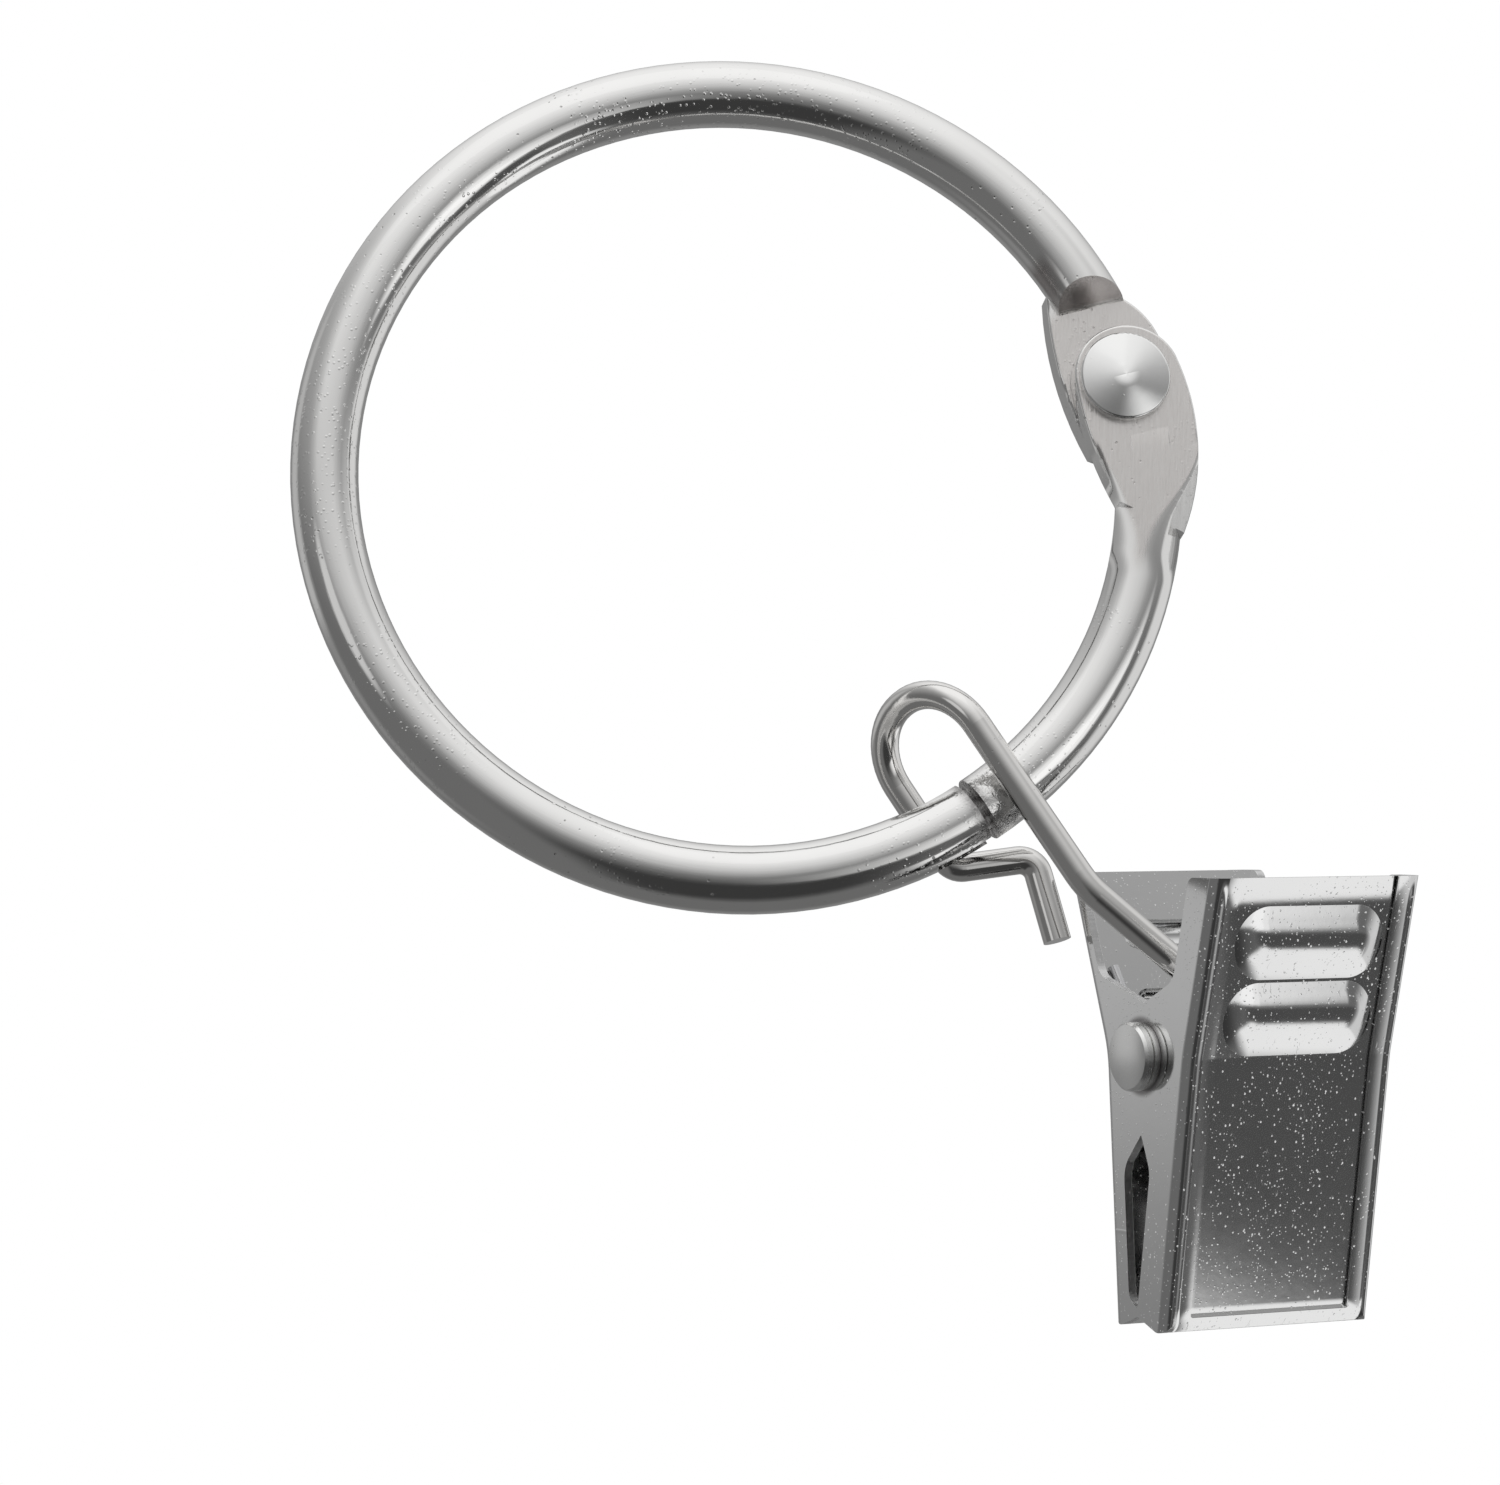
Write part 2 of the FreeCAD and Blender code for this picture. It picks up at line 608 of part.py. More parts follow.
class JawSide:
    """Side view of one jaw: y across the sheet, z along the clip, about the pin. Sign -1 is the front jaw."""

    def __init__(self, name, sign):
        self.sign = sign
        self.offset = size(name + "_web_offset")
        self.handle_slope = math.tan(math.radians(size(name + "_handle_angle")))
        self.jaw_slope = math.tan(math.radians(size(name + "_jaw_angle")))
        self.handle_flange = size(name + "_handle_flange")
        self.jaw_flange = size(name + "_jaw_flange")
        self.inside = size("sheet") + size("pan_depth")

    def web(self, height, inset=0.0):
        """Point on the web's outer face at a height, moved inward by a distance across the sheet."""
        slope = self.handle_slope if height > 0 else self.jaw_slope
        across = self.offset + height * slope - inset * math.sqrt(1 + slope ** 2)
        return (self.sign * across, height)

    def bend(self, inset=0.0):
        """Rounded bend of the web at the pin's height: start, middle and end of its arc."""
        above = Vector(*self.web(size("handle_length"), inset), 0)
        below = Vector(*self.web(-size("jaw_length"), inset), 0)
        slope_a = self.handle_slope
        slope_b = self.jaw_slope
        stretch = math.sqrt(1 + slope_a ** 2) - math.sqrt(1 + slope_b ** 2)
        height = inset * stretch / (slope_a - slope_b)
        across = self.offset + height * slope_a - inset * math.sqrt(1 + slope_a ** 2)
        corner = Vector(self.sign * across, height, 0)
        return corner_arc(above, corner, below, size("web_bend"))

    def lip(self, across, inset=0.0):
        """Height of the lip's lower face at a place across the clip, raised by the sheet's thickness."""
        root = self.web(-size("jaw_length"))
        end = self.lip_end()
        slope = (end[1] - root[1]) / (end[0] - root[0])
        return root[1] + slope * (across - root[0]) + inset * math.sqrt(1 + slope ** 2)

    def lip_end(self):
        return (size("lip_meeting") + self.sign * size("lip_gap") / 2, size("lip_rise") - size("jaw_length"))

    def outline(self):
        """Outer outline of web, ear, flange edge and lip."""
        sign = self.sign
        top = self.web(size("handle_length"))
        flange_top = (top[0] - sign * self.handle_flange, top[1])
        low = self.web(size("handle_flange_end"))
        flange_low = (low[0] - sign * self.handle_flange, low[1])
        ear = size("ear_radius")
        side = size("ear_side")
        rise = math.sqrt(ear ** 2 - side ** 2)
        throat = self.web(-size("throat_height"))
        throat = (throat[0] - sign * self.jaw_flange, throat[1])
        tip = self.web(size("tip_flange_end") - size("jaw_length"))
        tip = (tip[0] - sign * self.jaw_flange, tip[1])
        ear_top = (-sign * side, rise)
        ear_low = (-sign * side, -rise)
        start, middle, end = self.bend()
        return [
            (start.x, start.y, (middle.x, middle.y)),
            top,
            *rounded(top, flange_top, flange_low, size("flange_corner")),
            *rounded(flange_top, flange_low, ear_top, size("flange_fillet")),
            ear_top,
            ear_low + ((-sign * ear, 0),),
            *rounded(ear_low, throat, tip, size("throat_fillet")),
            *rounded(throat, tip, self.lip_end(), size("tip_fillet")),
            self.lip_end(),
            self.web(-size("jaw_length")),
            (end.x, end.y),
        ]

    def pan(self):
        """Outline of the shallow recess between the web's two side ridges, open at the handle's end."""
        depth = size("pan_depth")
        start, middle, end = self.bend(depth)
        foot = size("pan_end") - size("jaw_length")
        past = size("handle_length") * 2
        return [
            (start.x, start.y, (middle.x, middle.y)),
            self.web(past, depth),
            self.web(past, -self.offset),
            self.web(foot, -self.offset),
            self.web(foot, depth),
            (end.x, end.y),
        ]

    def cavity(self):
        """Outline of the channel's inside, open to the other jaw and at the handle's end."""
        start, middle, end = self.bend(self.inside)
        top = self.web(size("handle_length") * 2, self.inside)
        far = -self.sign * 3 * self.offset
        return [
            (start.x, start.y, (middle.x, middle.y)),
            top,
            (far, top[1]),
            (far, self.lip(far, size("sheet"))),
            self.inner_corner(),
            (end.x, end.y),
        ]

    def inner_corner(self):
        """Where the inside of the web meets the inside of the lip."""
        thickness = size("sheet")
        root = self.web(-size("jaw_length"))
        end = self.lip_end()
        lip_slope = (end[1] - root[1]) / (end[0] - root[0])
        lip_base = self.lip(0.0, thickness)
        web_base = self.offset - self.inside * math.sqrt(1 + self.jaw_slope ** 2)
        closing = 1 - self.sign * lip_slope * self.jaw_slope
        across = self.sign * (web_base + lip_base * self.jaw_slope) / closing
        return (across, self.lip(across, thickness))

    def on_web(self, point, tolerance=0.02):
        """True where a point of the jaw's frame lies on the outer face of the web."""
        across, height = self.web(point.z)
        start, middle, end = self.bend()
        if end.y < point.z < start.y:
            across = middle.x
            tolerance = size("sheet") / 2
        return abs(point.y - across) < tolerance


def add_ribs(body, name, side, kind, radius):
    """Round-ended ribs across the handle: capsules added outside, or smaller ones hollowed inside."""
    half = RIB_LENGTH / 2 - size("rib_radius")
    far = half + radius
    diagonal = radius * math.sqrt(0.5)
    for number in range(2):
        height = size("handle_length") - size("rib_top_margin") - number * size("rib_spacing")
        across, _ = side.web(height, size("pan_depth") + size("rib_radius") - size("rib_height"))
        label = "%s_%d" % (name, number + 1)
        sketch = new_sketch(body, label + "_profile", Placement(Vector(0, across, height), Rotation()))
        draw(sketch, [
            (-far, 0, (-half - diagonal, diagonal)), (far, 0),
            (half, radius, (half + diagonal, diagonal)), (-half, radius),
        ])
        revolve(body, label, sketch, "H_Axis", kind)


def make_jaw(label, name, sign, width, width_cell):
    """Stamped channel: web, two flanges with ears, lip, pin holes and two ribs."""
    side = JawSide(name, sign)
    body = new_body(label, CLIP_FRAME)
    across = Placement(Vector(0, 0, 0), SIDE_VIEW)

    sketch = new_sketch(body, name + "_outline", across)
    draw(sketch, side.outline())
    pad(body, name + "_blank", sketch, width_cell, both_ways=True)

    foot = side.web(-size("jaw_length"))

    def outer_edge(edge):
        middle = edge_middle(edge)
        along_side = abs(abs(middle.x) - width / 2) < NEAR and side.on_web(middle)
        return along_side or math.hypot(middle.y - foot[0], middle.z - foot[1]) < NEAR

    fillet(body, name + "_web_edges", outer_edge, cell("web_edge"))
    sketch = new_sketch(body, name + "_pan_outline", across)
    draw(sketch, side.pan())
    pocket(body, name + "_pan", sketch, width_cell + " - 2 * " + cell("ridge_width"), both_ways=True)

    def pan_wall(edge):
        return abs(abs(edge_middle(edge).x) - width / 2 + size("ridge_width")) < NEAR

    fillet(body, name + "_pan_edges", pan_wall, cell("pan_edge"))
    add_ribs(body, name + "_rib", side, "PartDesign::Revolution", size("rib_radius"))

    def rib_foot(edge):
        middle = edge_middle(edge)
        floor, _ = side.web(middle.z, size("pan_depth"))
        inside_pan = abs(middle.x) < width / 2 - 2 * size("ridge_width")
        on_handle = 0 < middle.z < size("handle_length") - NEAR
        return inside_pan and on_handle and abs(middle.y - floor) < NEAR

    fillet(body, name + "_rib_blend", rib_foot, cell("rib_blend"))

    sketch = new_sketch(body, name + "_cavity_outline", across)
    draw(sketch, side.cavity())
    pocket(body, name + "_cavity", sketch, width_cell + " - 2 * " + cell("sheet"), both_ways=True)
    add_ribs(body, name + "_rib_hollow", side, "PartDesign::Groove", size("rib_radius") - size("sheet"))

    sketch = new_sketch(body, name + "_pin_holes", across)
    draw_circle(sketch, Vector(0, 0, 0), size("pin_diameter") / 2 + size("running_clearance"),
                cell("pin_diameter") + " / 2 + " + cell("running_clearance"))
    pocket(body, name + "_pin_bore", sketch, width_cell + " * 2", both_ways=True)
    return body


FRONT_HALF = size("front_width") / 2
BACK_WIDTH = size("front_width") - 2 * (size("sheet") + size("nest_clearance"))
RIB_LENGTH = BACK_WIDTH - 2 * (size("ridge_width") + size("rib_side_margin"))


def make_front_jaw():
    return make_jaw("front_jaw", "front", -1, size("front_width"), cell("front_width"))


def make_back_jaw():
    width_cell = "(%s - 2 * (%s + %s))" % (cell("front_width"), cell("sheet"), cell("nest_clearance"))
    return make_jaw("back_jaw", "back", 1, BACK_WIDTH, width_cell)


WASHER_FACE = -FRONT_HALF - size("seat_clearance")
NECK_FACE = WASHER_FACE - size("washer_thickness")


def make_clip_pin():
    """Headed pin: head and short neck on the left, set tail on the right."""
    body = new_body("clip_pin", CLIP_FRAME)
    shank = size("pin_diameter") / 2
    neck = size("pin_neck_diameter") / 2
    head = size("pin_head_diameter") / 2
    tail = size("pin_tail_diameter") / 2
    neck_end = NECK_FACE - size("pin_neck_height")
    head_end = neck_end - size("pin_head_height")
    edge = size("pin_head_edge")
    tail_edge = size("pin_tail_edge")
    tail_seat = FRONT_HALF + size("seat_clearance")
    tail_end = tail_seat + size("pin_tail_height")
    sketch = new_sketch(body, "pin_profile")
    draw(sketch, [
        (head_end, 0), (head_end, head - edge), (head_end + edge, head), (neck_end, head),
        (neck_end, neck), (NECK_FACE, neck), (NECK_FACE, shank), (tail_seat, shank),
        (tail_seat, tail), (tail_end - tail_edge, tail), (tail_end, tail - tail_edge), (tail_end, 0),
    ])
    revolve(body, "pin", sketch, "H_Axis")
    return body


def make_pin_washer():
    """Thin disc between the pin's head and the front jaw's ear."""
    body = new_body("pin_washer", CLIP_FRAME)
    bore = size("pin_diameter") / 2 + size("running_clearance")
    outer = size("pin_head_diameter") / 2
    sketch = new_sketch(body, "washer_profile")
    draw(sketch, [(NECK_FACE, bore), (WASHER_FACE, bore), (WASHER_FACE, outer), (NECK_FACE, outer)])
    revolve(body, "washer", sketch, "H_Axis")
    return body


def make_clip_spring():
    """Double torsion spring: two coils on the pin, a bridge on the front handle, free legs on the back one.

    Each leg runs on from its coil as a tangent, so it keeps the coil's slope along the pin.
    """
    radius = size("coil_radius")
    pitch = size("coil_pitch")
    height = size("spring_leg_height")
    front_side = JawSide("front", -1)
    inset = front_side.inside + size("spring_wire") / 2 + size("seat_clearance")
    front = front_side.web(height, inset)
    back = JawSide("back", 1).web(height, inset)
    front_angle = tangent_angle(front, radius, 1)
    back_angle = tangent_angle(back, radius, -1)
    turns = size("coil_turns") + (back_angle - front_angle) / (2 * math.pi) + 1
    slope = pitch / (2 * math.pi * radius)
    back_leg_length = math.sqrt(back[0] ** 2 + back[1] ** 2 - radius ** 2)
    leg_place = BACK_WIDTH / 2 - size("sheet") - size("coil_side_gap") - size("spring_wire") / 2
    inner = leg_place - slope * back_leg_length - pitch * turns
    pieces = math.ceil(turns * size("coil_pieces"))
    share = turns / pieces

    def coil_point(turn):
        angle = front_angle + 2 * math.pi * turn
        across = inner + pitch * turn
        return Vector(across, radius * math.cos(angle), radius * math.sin(angle))

    def coil_piece(number):
        turned = Rotation(Vector(1, 0, 0), math.degrees(front_angle) + 360 * share * number)
        place = Placement(Vector(inner + pitch * share * number, 0, 0), turned * SIDE_VIEW)
        helix = Part.makeHelix(pitch, pitch * share, radius)
        return helix.transformGeometry(place.toMatrix()).Edges[0]

    def leg_end(point, start, direction):
        length = math.hypot(point[0] - start.y, point[1] - start.z)
        return Vector(start.x + direction * slope * length, point[0], point[1])

    front_touch = coil_point(0)
    back_touch = coil_point(turns)
    bridge = Vector(0, front[0], front[1])
    corner = leg_end(front, front_touch, -1)
    start, bend, end = corner_arc(front_touch, corner, bridge, size("spring_bend"))
    half = [
        Part.LineSegment(leg_end(back, back_touch, 1), back_touch).toShape(),
        *[coil_piece(number) for number in reversed(range(pieces))],
        Part.LineSegment(front_touch, start).toShape(),
        Part.Arc(start, bend, end).toShape(),
        Part.LineSegment(end, bridge).toShape(),
    ]
    other_half = [edge.mirror(Vector(0, 0, 0), Vector(1, 0, 0)) for edge in reversed(half)]
    edges = [edge.transformGeometry(CLIP_FRAME.toMatrix()).Edges[0] for edge in half + other_half]
    return sweep("clip_spring", edges, "spring_wire")


# Build, check and export

nodes = [
    make_ring_arc(),
    make_ring_gate(),
    make_hinge_rivet(),
    make_wire_loop(),
    make_front_jaw(),
    make_back_jaw(),
    make_clip_pin(),
    make_pin_washer(),
    make_clip_spring(),
]
doc.recompute()

for item in doc.Objects:
    if {"Invalid", "Error"} & set(item.State):
        raise RuntimeError("%s did not compute: %s" % (item.Name, item.State))
for node in nodes:
    shape = node.Shape
    if shape.isNull() or not shape.isValid() or len(shape.Solids) != 1:
        raise RuntimeError("%s is not one valid solid" % node.Label)
    print("%-12s %9.3f mm3" % (node.Label, shape.Volume))

os.makedirs("parts", exist_ok=True)
for node in nodes:
    node.Shape.exportStep("parts/%s.step" % node.Label)
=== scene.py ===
# %% [markdown]
# A curtain ring with a clip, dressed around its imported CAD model.
# The CAD solids are a fixed frame: each one sits at the origin, and its place is in its mesh.
# Everything added here is measured in metres in that same frame, so nothing has to be fitted.

# %% Load the frame
import json
import math

import bpy
import numpy as np
from mathutils import Matrix, Vector


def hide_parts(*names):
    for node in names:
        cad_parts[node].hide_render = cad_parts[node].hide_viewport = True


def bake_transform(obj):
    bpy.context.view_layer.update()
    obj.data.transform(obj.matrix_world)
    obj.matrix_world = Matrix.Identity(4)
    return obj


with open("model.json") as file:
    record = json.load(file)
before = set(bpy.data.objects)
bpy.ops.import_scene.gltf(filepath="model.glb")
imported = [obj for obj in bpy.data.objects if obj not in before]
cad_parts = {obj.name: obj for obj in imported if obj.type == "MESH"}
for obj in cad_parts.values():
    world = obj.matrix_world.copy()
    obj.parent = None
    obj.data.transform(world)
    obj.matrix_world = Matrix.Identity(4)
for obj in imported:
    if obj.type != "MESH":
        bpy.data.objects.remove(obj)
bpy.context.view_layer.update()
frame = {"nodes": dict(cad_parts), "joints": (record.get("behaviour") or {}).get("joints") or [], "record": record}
MM = 0.001
nodes = frame["nodes"]
joints = {joint["name"]: joint for joint in frame["joints"]}
mounts = {mount["name"]: mount for mount in frame["record"]["mounts"]}
print("solids:", ", ".join(sorted(nodes)))

# %% [markdown]
# The camera stands a little to the left of the ring and well below it, and looks up.
# Its place, its turn and its long lens were fitted to points of the ring and the clip,
# so the ring's ellipse and the clip's edges fall where they do in the photograph.

# %% Camera
CAMERA_PLACE = (-0.025358, -0.246695, -0.079208)
CAMERA_AZIMUTH = math.radians(-6.02)
CAMERA_ELEVATION = math.radians(-14.8)
PHOTO_WIDTH = 1500
FOCAL_PIXELS = 5168

right = np.array([math.cos(CAMERA_AZIMUTH), math.sin(CAMERA_AZIMUTH), 0.0])
back = np.array([
    math.sin(CAMERA_AZIMUTH) * math.cos(CAMERA_ELEVATION),
    -math.cos(CAMERA_AZIMUTH) * math.cos(CAMERA_ELEVATION),
    math.sin(CAMERA_ELEVATION),
])
up = np.cross(back, right)

camera_data = bpy.data.cameras.new("photo_camera")
camera_data.sensor_width = 36
camera_data.lens = FOCAL_PIXELS / PHOTO_WIDTH * camera_data.sensor_width
camera_data.clip_start = 0.01
camera = bpy.data.objects.new("photo_camera", camera_data)
pose = np.eye(4)
pose[:3, :3] = np.column_stack([right, up, back])
pose[:3, 3] = CAMERA_PLACE
camera.matrix_world = Matrix(pose.tolist())
bpy.context.scene.collection.objects.link(camera)
bpy.context.scene.camera = camera
print("camera looks along", -back.round(3))

# %% [markdown]
# A finish is a tree of shader nodes. It could be wired by hand in the node editor,
# but its sums read best as plain arithmetic, so a small class turns arithmetic into nodes.
# A Signal wraps one output socket, and each operator adds the Math node that does the sum.

# %% Shader arithmetic
class Signal:
    """One shader socket that can be added, multiplied and compared in Python."""

    def __init__(self, finish, socket):
        self.finish = finish
        self.socket = socket

    def math(self, operation, *others):
        return self.finish.node("Math", {"operation": operation}, dict(enumerate((self, *others))))

    def __add__(self, other):
        return self.math("ADD", other)

    def __mul__(self, other):
        return self.math("MULTIPLY", other)

    def __sub__(self, other):
        return self.math("SUBTRACT", other)

    def __truediv__(self, other):
        return self.math("DIVIDE", other)

    def __rsub__(self, other):
        return self.finish.node("Math", {"operation": "SUBTRACT"}, {0: other, 1: self})

    def __abs__(self):
        return self.math("ABSOLUTE")

    __radd__ = __add__
    __rmul__ = __mul__

    def larger(self, other):
        return self.math("MAXIMUM", other)

    def ramp(self, low, high, start=0.0, end=1.0):
        """Smooth step from start to end while the signal goes from low to high."""
        settings = {"interpolation_type": "SMOOTHSTEP"}
        return self.finish.node("MapRange", settings, {0: self, 1: low, 2: high, 3: start, 4: end})

    def near(self, centre, reach):
        """One at a centre, falling smoothly to zero at a reach on either side."""
        return abs(self - centre).ramp(0.0, reach, 1.0, 0.0)


print("shader arithmetic ready")

# %% [markdown]
# A Finish is one node tree. Its node method makes any node, sets it up first, then feeds its sockets.
# The other methods are short names for the nodes that several finishes share.

# %% Node trees
class Finish:
    """A node tree with one method that adds any node."""

    def __init__(self, tree):
        self.tree = tree
        tree.nodes.clear()

    def node(self, kind, settings=None, inputs=None, output=0):
        made = self.tree.nodes.new("ShaderNode" + kind)
        for key, value in (settings or {}).items():
            setattr(made, key, value)
        for key, value in (inputs or {}).items():
            if isinstance(value, Signal):
                self.tree.links.new(value.socket, made.inputs[key])
            else:
                made.inputs[key].default_value = value
        return Signal(self, made.outputs[output]) if made.outputs else None

    def coordinates(self, space="Object"):
        return self.node("TexCoord", output=space)

    def split(self, vector):
        made = self.node("SeparateXYZ", None, {0: vector})
        return [Signal(self, socket) for socket in made.socket.node.outputs]

    def join(self, x, y, z):
        return self.node("CombineXYZ", None, {0: x, 1: y, 2: z})

    def grey(self, level):
        return self.join(level, level, level)

    def along(self, vector, direction):
        """Dot product of a vector with a fixed direction."""
        inputs = {0: vector, 1: tuple(float(part) for part in direction)}
        return self.node("VectorMath", {"operation": "DOT_PRODUCT"}, inputs, output="Value")

    def length(self, x, y):
        return (x * x + y * y).math("SQRT")

    def noise(self, vector, scale, detail=3.0, roughness=0.55):
        """Soft random value from zero to one, with a scale in cells per unit of the vector."""
        inputs = {"Vector": vector, "Scale": scale, "Detail": detail, "Roughness": roughness}
        return self.node("TexNoise", None, inputs)

    def specks(self, vector, scale, size):
        """Scattered dots: one inside a dot, zero beyond its size in parts of a cell."""
        distance = self.node("TexVoronoi", None, {"Vector": vector, "Scale": scale})
        return distance.ramp(0.3 * size, size, 1.0, 0.0)

    def blend(self, share, first, second):
        return self.node("Mix", {"data_type": "RGBA"}, {0: share, 6: first, 7: second}, output=2)

    def bump(self, height, strength, distance, normal=None):
        inputs = {"Strength": strength, "Distance": distance, "Height": height}
        if normal:
            inputs["Normal"] = normal
        return self.node("Bump", None, inputs)

    def facing(self, local):
        """World normal of a direction that is given in the object's own axes."""
        settings = {"vector_type": "NORMAL", "convert_from": "OBJECT", "convert_to": "WORLD"}
        return self.node("VectorTransform", settings, {0: local})

    def swing(self, share, first, second):
        """Normal that goes from a first direction to a second one by a share."""
        return self.node("Mix", {"data_type": "VECTOR"}, {0: share, 4: first, 5: second}, output=1)

    def metal(self, colour, roughness, normal, metallic=1.0):
        """Principled metal with a varying colour, roughness and surface."""
        shader = self.node("BsdfPrincipled", None, {
            "Base Color": colour, "Roughness": roughness, "Metallic": metallic, "Normal": normal})
        self.node("OutputMaterial", None, {"Surface": shader})


def new_finish(name):
    material = bpy.data.materials.new(name)
    material.use_nodes = True
    return material, Finish(material.node_tree)


print("node trees ready")

# %% [markdown]
# The photograph has a plain white background. Here the world is that background:
# the camera sees it, and so do rays that metal throws back. Scattered light from it is a little weaker,
# so that a pale floor below the object stays below white and keeps a shadow.

# %% World
SCATTERED_LEVEL = 0.75

world = bpy.data.worlds.new("studio")
bpy.context.scene.world = world
world.use_nodes = True
studio = Finish(world.node_tree)
seen = studio.node("LightPath", output="Is Camera Ray")
seen = seen.larger(studio.node("LightPath", output="Is Glossy Ray"))
seen = seen.larger(studio.node("LightPath", output="Is Transmission Ray"))
level = SCATTERED_LEVEL + seen * (1.0 - SCATTERED_LEVEL)
background = studio.node("Background", None, {"Color": studio.grey(level), "Strength": 1.0})
studio.node("OutputWorld", None, {"Surface": background})
print("white background")

# %% [markdown]
# A floor lies well below the object, out of the photograph's frame.
# A square plane would be simpler, but its edge would show from other sides,
# so this is a pale disc that fades out towards its rim.

# %% Floor
FLOOR_HEIGHT = -0.36
FLOOR_RADIUS = 0.34
FADE_START = 0.45 * FLOOR_RADIUS
FADE_END = 0.98 * FLOOR_RADIUS
FLOOR_DULL = (0.86, 0.86, 0.86, 1)
FLOOR_PALE = (0.9, 0.9, 0.9, 1)


def disc_grid(radius, rings, spokes):
    """Flat disc: points at polar grid (r, a) -> (r cos a, r sin a, floor height)."""
    r, a = np.meshgrid(np.linspace(0, radius, rings), np.linspace(0, 2 * np.pi, spokes), indexing="ij")
    return np.stack([r * np.cos(a), r * np.sin(a), np.full_like(r, FLOOR_HEIGHT)], axis=-1)


def grid_mesh(name, points, material):
    """Mesh of a rows-by-columns grid of points, one quad between each four neighbours."""
    rows, columns = points.shape[:2]
    index = np.arange(rows * columns).reshape(rows, columns)
    corners = [index[:-1, :-1], index[1:, :-1], index[1:, 1:], index[:-1, 1:]]
    quads = np.stack(corners, axis=-1).reshape(-1, 4)
    mesh = bpy.data.meshes.new(name)
    mesh.from_pydata(points.reshape(-1, 3).tolist(), [], quads.tolist())
    mesh.polygons.foreach_set("use_smooth", np.ones(len(mesh.polygons), bool))
    mesh.update()
    made = bpy.data.objects.new(name, mesh)
    made.data.materials.append(material)
    bpy.context.scene.collection.objects.link(made)
    return made


pale, paint = new_finish("pale_floor")
x, y, _ = paint.split(paint.coordinates())
reach = paint.length(x, y)
grain = paint.noise(paint.coordinates(), 220.0)
tone = paint.blend(grain, FLOOR_DULL, FLOOR_PALE)
diffuse = paint.node("BsdfDiffuse", None, {"Color": tone})
fade = reach.ramp(FADE_START, FADE_END)
surface = paint.node("MixShader", None, {0: fade, 1: diffuse, 2: paint.node("BsdfTransparent")})
paint.node("OutputMaterial", None, {"Surface": surface})
floor = grid_mesh("floor", disc_grid(FLOOR_RADIUS, rings=2, spokes=97), pale)
print("floor at", FLOOR_HEIGHT)

# %% [markdown]
# Polished metal in an all-white room would look like white plastic, so a photographer hangs dark cards
# around it. Here one round card encloses the object and is seen only by reflections.
# It is open where the photograph's metal shows white: above, through a window on the right,
# over a strip of table below that window and in a small patch on the left.
# It lets some of the background through at the sides and behind.
# It is darkest low in front and low on the right, where the clip's panel looks.
# Each ramp below says where an opening starts and ends along one of the camera's directions.

# %% Dark card
CARD_RADIUS = 0.30
DIM = 0.16
DARKEST = 0.045
PATCH_TURN = math.radians(168)
PATCH_SLANT = math.radians(44)
PATCH_RIM = math.cos(0.26)
PATCH_CORE = math.cos(0.12)


def from_camera(turn, slant):
    """Direction at a slant from the line to the camera, turned about it from the camera's right."""
    sideways = math.cos(turn) * right + math.sin(turn) * up
    return math.sin(slant) * sideways + math.cos(slant) * back


def sphere_grid(radius, rows, columns):
    """Sphere: slant t from the camera's side and turn a -> radius (sin t cos a, sin t sin a, cos t)."""
    t, a = np.meshgrid(np.linspace(0, np.pi, rows), np.linspace(0, 2 * np.pi, columns), indexing="ij")
    local = np.stack([np.sin(t) * np.cos(a), np.sin(t) * np.sin(a), np.cos(t)], axis=-1)
    return radius * local @ np.stack([right, up, back])


card_material, card = new_finish("dark_card")
ray = card.node("VectorMath", {"operation": "NORMALIZE"}, {0: card.coordinates()})
upward = card.along(ray, up)
forward = card.along(ray, back)
rightward = card.along(ray, right)
leftward = 0.0 - rightward
sky = upward.ramp(-0.15, 1.05) * leftward.ramp(0.35, 0.85, 1.0, 0.4)
sky = sky * (1.0 - rightward.ramp(0.4, 0.85) * forward.ramp(0.0, 0.4) * 0.45)
window = rightward.ramp(0.15, 0.72) * forward.ramp(0.30, 0.42)
window = window * upward.ramp(0.30, -0.02) * upward.ramp(-0.35, -0.26)
table = rightward.ramp(0.50, 0.65) * forward.ramp(0.46, 0.36)
table = table * upward.ramp(-0.54, -0.58) * upward.ramp(-0.92, -0.80)
right_side = rightward.ramp(0.45, 0.8) * forward.ramp(0.15, -0.15) * 0.7
behind = forward.ramp(-0.5, -0.9) * 0.12
left_side = leftward.ramp(0.5, 0.85) * forward.ramp(0.0, -0.35) * upward.ramp(-0.26, -0.12, 0.12, 0.40)
patch = card.along(ray, from_camera(PATCH_TURN, PATCH_SLANT)).ramp(PATCH_RIM, PATCH_CORE) * 0.6
opening = sky
for gap in (window, table, right_side, behind, left_side, patch):
    opening = opening.larger(gap)
low_front = forward.ramp(0.1, 0.5) * upward.ramp(-0.02, -0.45)
low_front = low_front * rightward.ramp(-0.4, -0.12) * rightward.ramp(0.75, 0.4)
low_right = rightward.ramp(0.60, 0.75) * upward.ramp(-0.33, -0.38) * upward.ramp(-0.58, -0.52) * 0.7
tone = DIM - low_front.larger(low_right) * (DIM - DARKEST)
glow = card.node("Emission", None, {"Color": card.grey(tone), "Strength": 1.0})
surface = card.node("MixShader", None, {0: opening, 1: glow, 2: card.node("BsdfTransparent")})
card.node("OutputMaterial", None, {"Surface": surface})
dome = grid_mesh("dark_card", sphere_grid(CARD_RADIUS, rows=49, columns=97), card_material)
dome.visible_camera = False
dome.visible_diffuse = False
dome.visible_shadow = False
print("dark card of radius", CARD_RADIUS)

